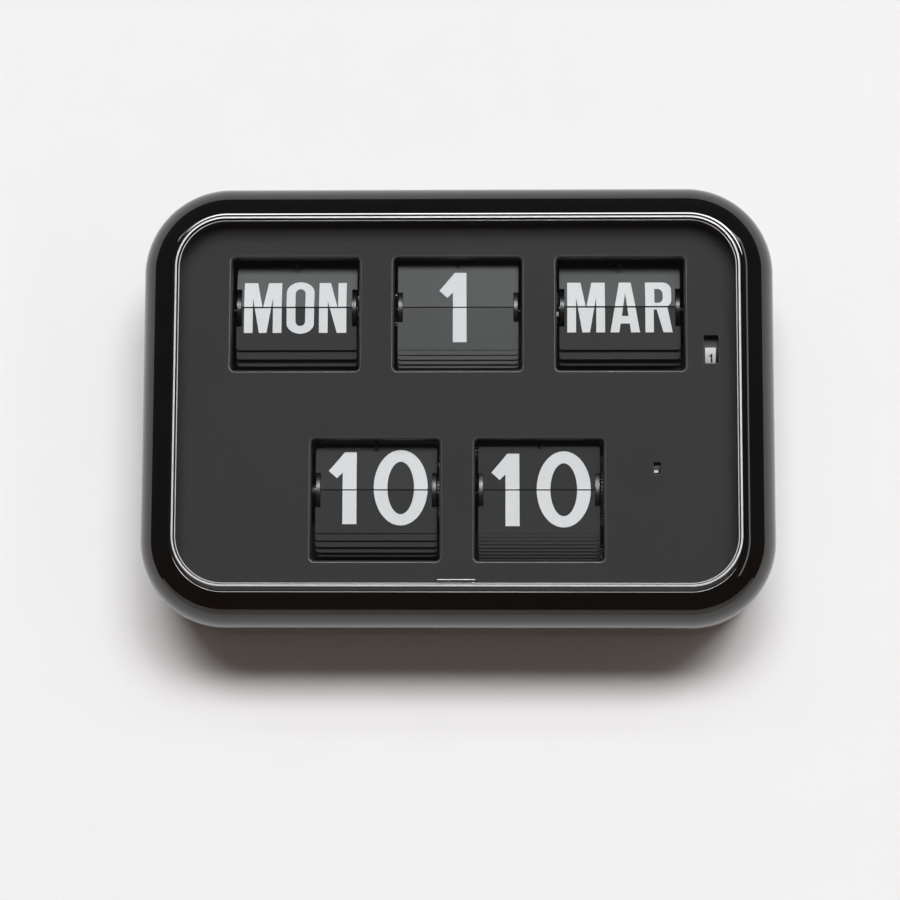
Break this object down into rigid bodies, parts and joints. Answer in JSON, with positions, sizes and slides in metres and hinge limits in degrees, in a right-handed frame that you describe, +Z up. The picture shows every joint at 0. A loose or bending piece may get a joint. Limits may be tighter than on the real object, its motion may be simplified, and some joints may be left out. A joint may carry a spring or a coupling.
{
  "type": "flip clock calendar",
  "caption": "Rounded wall clock whose split leaves flip to show weekday, date and month above hours and minutes, behind a clear pull-off lens.",
  "frame": {"origin": "centre of the hanging hole's round entry, on the wall plane", "axes": "+X to the right seen from the front, -Y towards the viewer, +Z up"},
  "size_m": [0.32, 0.0958, 0.224],
  "materials": {
    "case_black": "high gloss",
    "lens_clear": "clear, polished",
    "dial_grey": "fine satin",
    "leaf_plastic": "satin",
    "back_black": "fine grain",
    "drum_metal": "turned, polished rims",
    "gear_plastic": "moulded",
    "sheet_steel": "zinc plated",
    "bright_steel": "ground and polished",
    "brass": "turned",
    "finger_black": "blackened",
    "motor_white": "moulded",
    "cell_jacket": "printed sleeve, bare",
    "pad_rubber": "matt",
    "year_white": "satin"
  },
  "bodies": {
    "case": {"case_shell": "case_black", "dial_panel": "dial_grey", "rear_cover": "back_black", "hanger_plate": "sheet_steel", "wall_pads": "pad_rubber", "battery_tray": "back_black", "battery_cell": "cell_jacket", "battery_spring": "bright_steel", "battery_contact": "bright_steel", "rear_cover_screws": "bright_steel", "dial_screws": "bright_steel", "frame_screws": "bright_steel", "chassis_plate": "sheet_steel", "chassis_pillars": "bright_steel", "gear_bridge": "sheet_steel", "quartz_motor": "motor_white", "setting_arbor": "bright_steel", "rocker_brackets": "sheet_steel", "year_bracket": "sheet_steel", "weekday_frame": "sheet_steel", "weekday_shaft": "bright_steel", "weekday_leaves": "leaf_plastic", "weekday_finger": "finger_black", "date_frame": "sheet_steel", "date_shaft": "bright_steel", "date_leaves": "leaf_plastic", "date_finger": "finger_black", "month_frame": "sheet_steel", "month_shaft": "bright_steel", "month_leaves": "leaf_plastic", "month_finger": "finger_black", "hour_frame": "sheet_steel", "hour_shaft": "bright_steel", "hour_leaves": "leaf_plastic", "hour_finger": "finger_black", "minute_frame": "sheet_steel", "minute_shaft": "bright_steel", "minute_leaves": "leaf_plastic", "minute_finger": "finger_black"},
    "lens": {"lens_cover": "lens_clear"},
    "battery_door": {"battery_door": "back_black"},
    "weekday_drum": {"weekday_drum": "drum_metal"},
    "weekday_top_leaf": {"weekday_top_leaf": "leaf_plastic"},
    "date_drum": {"date_drum": "drum_metal"},
    "date_top_leaf": {"date_top_leaf": "leaf_plastic"},
    "month_drum": {"month_drum": "drum_metal"},
    "month_top_leaf": {"month_top_leaf": "leaf_plastic"},
    "hour_drum": {"hour_drum": "drum_metal"},
    "hour_top_leaf": {"hour_top_leaf": "leaf_plastic"},
    "minute_drum": {"minute_drum": "drum_metal", "minute_gear": "gear_plastic"},
    "minute_top_leaf": {"minute_top_leaf": "leaf_plastic"},
    "transfer": {"transfer_wheel": "brass"},
    "seconds": {"seconds_arbor": "bright_steel", "seconds_drum": "dial_grey"},
    "carry": {"carry_wheel": "brass"},
    "setting": {"setting_wheel": "gear_plastic"},
    "year": {"year_wheel": "year_white"},
    "rocker": {"calendar_rocker": "sheet_steel"}
  },
  "joints": [
    {"name": "lens_pull_off", "type": "slide", "parent": "case", "child": "lens", "axis": [0, -1, 0], "range_m": [0, 0.06]},
    {"name": "battery_door_lift_off", "type": "slide", "parent": "case", "child": "battery_door", "axis": [0, 1, 0], "range_m": [0, 0.025]},
    {"name": "weekday_turn", "type": "hinge", "parent": "case", "child": "weekday_drum", "pos_m": [-0.0824, -0.05828, -0.01845], "axis": [1, 0, 0], "continuous": true},
    {"name": "weekday_flip", "type": "hinge", "parent": "case", "child": "weekday_top_leaf", "pos_m": [-0.0824, -0.069, -0.016], "axis": [1, 0, 0], "range_deg": [0, 183.5], "deforming": ["weekday_finger"]},
    {"name": "date_turn", "type": "hinge", "parent": "case", "child": "date_drum", "pos_m": [0, -0.05656, -0.01845], "axis": [1, 0, 0], "continuous": true},
    {"name": "date_flip", "type": "hinge", "parent": "case", "child": "date_top_leaf", "pos_m": [0, -0.069, -0.01719], "axis": [1, 0, 0], "range_deg": [0, 174], "deforming": ["date_finger"]},
    {"name": "month_turn", "type": "hinge", "parent": "case", "child": "month_drum", "pos_m": [0.0824, -0.05934, -0.01845], "axis": [1, 0, 0], "continuous": true},
    {"name": "month_flip", "type": "hinge", "parent": "case", "child": "month_top_leaf", "pos_m": [0.0824, -0.069, -0.01586], "axis": [1, 0, 0], "range_deg": [0, 186], "deforming": ["month_finger"]},
    {"name": "hour_turn", "type": "hinge", "parent": "case", "child": "hour_drum", "pos_m": [-0.0412, -0.05512, -0.11205], "axis": [1, 0, 0], "continuous": true},
    {"name": "hour_flip", "type": "hinge", "parent": "case", "child": "hour_top_leaf", "pos_m": [-0.0412, -0.069, -0.11022], "axis": [1, 0, 0], "range_deg": [0, 176.5], "deforming": ["hour_finger"]},
    {"name": "minute_turn", "type": "hinge", "parent": "case", "child": "minute_drum", "pos_m": [0.0412, -0.05102, -0.11205], "axis": [1, 0, 0], "continuous": true},
    {"name": "minute_flip", "type": "hinge", "parent": "case", "child": "minute_top_leaf", "pos_m": [0.0412, -0.069, -0.11111], "axis": [1, 0, 0], "range_deg": [0, 166], "deforming": ["minute_finger"]},
    {"name": "transfer_turn", "type": "hinge", "parent": "case", "child": "transfer", "pos_m": [0.0863, -0.04962, -0.0905], "axis": [1, 0, 0], "continuous": true},
    {"name": "seconds_turn", "type": "hinge", "parent": "case", "child": "seconds", "pos_m": [0.1003, -0.0665, -0.10195], "axis": [1, 0, 0], "continuous": true},
    {"name": "carry_turn", "type": "hinge", "parent": "case", "child": "carry", "pos_m": [0, -0.05567, -0.09466], "axis": [1, 0, 0], "continuous": true},
    {"name": "setting_turn", "type": "hinge", "parent": "case", "child": "setting", "pos_m": [0.0733, -0.0194, -0.13164], "axis": [1, 0, 0], "continuous": true},
    {"name": "year_turn", "type": "hinge", "parent": "case", "child": "year", "pos_m": [0.128, -0.0635, -0.04165], "axis": [1, 0, 0], "continuous": true},
    {"name": "calendar_rock", "type": "hinge", "parent": "case", "child": "rocker", "pos_m": [0, -0.026, -0.06525], "axis": [1, 0, 0], "range_deg": [-10, 0]}
  ],
  "couplings": [
    {"joint": "minute_turn", "follows": "seconds_turn", "ratio": 0.016667},
    {"joint": "transfer_turn", "follows": "seconds_turn", "ratio": -0.13333},
    {"joint": "setting_turn", "follows": "seconds_turn", "ratio": -0.017778},
    {"joint": "carry_turn", "follows": "seconds_turn", "ratio": -0.0033333},
    {"joint": "hour_turn", "follows": "seconds_turn", "ratio": 0.00069444},
    {"joint": "year_turn", "follows": "month_turn", "ratio": 0.25}
  ]
}
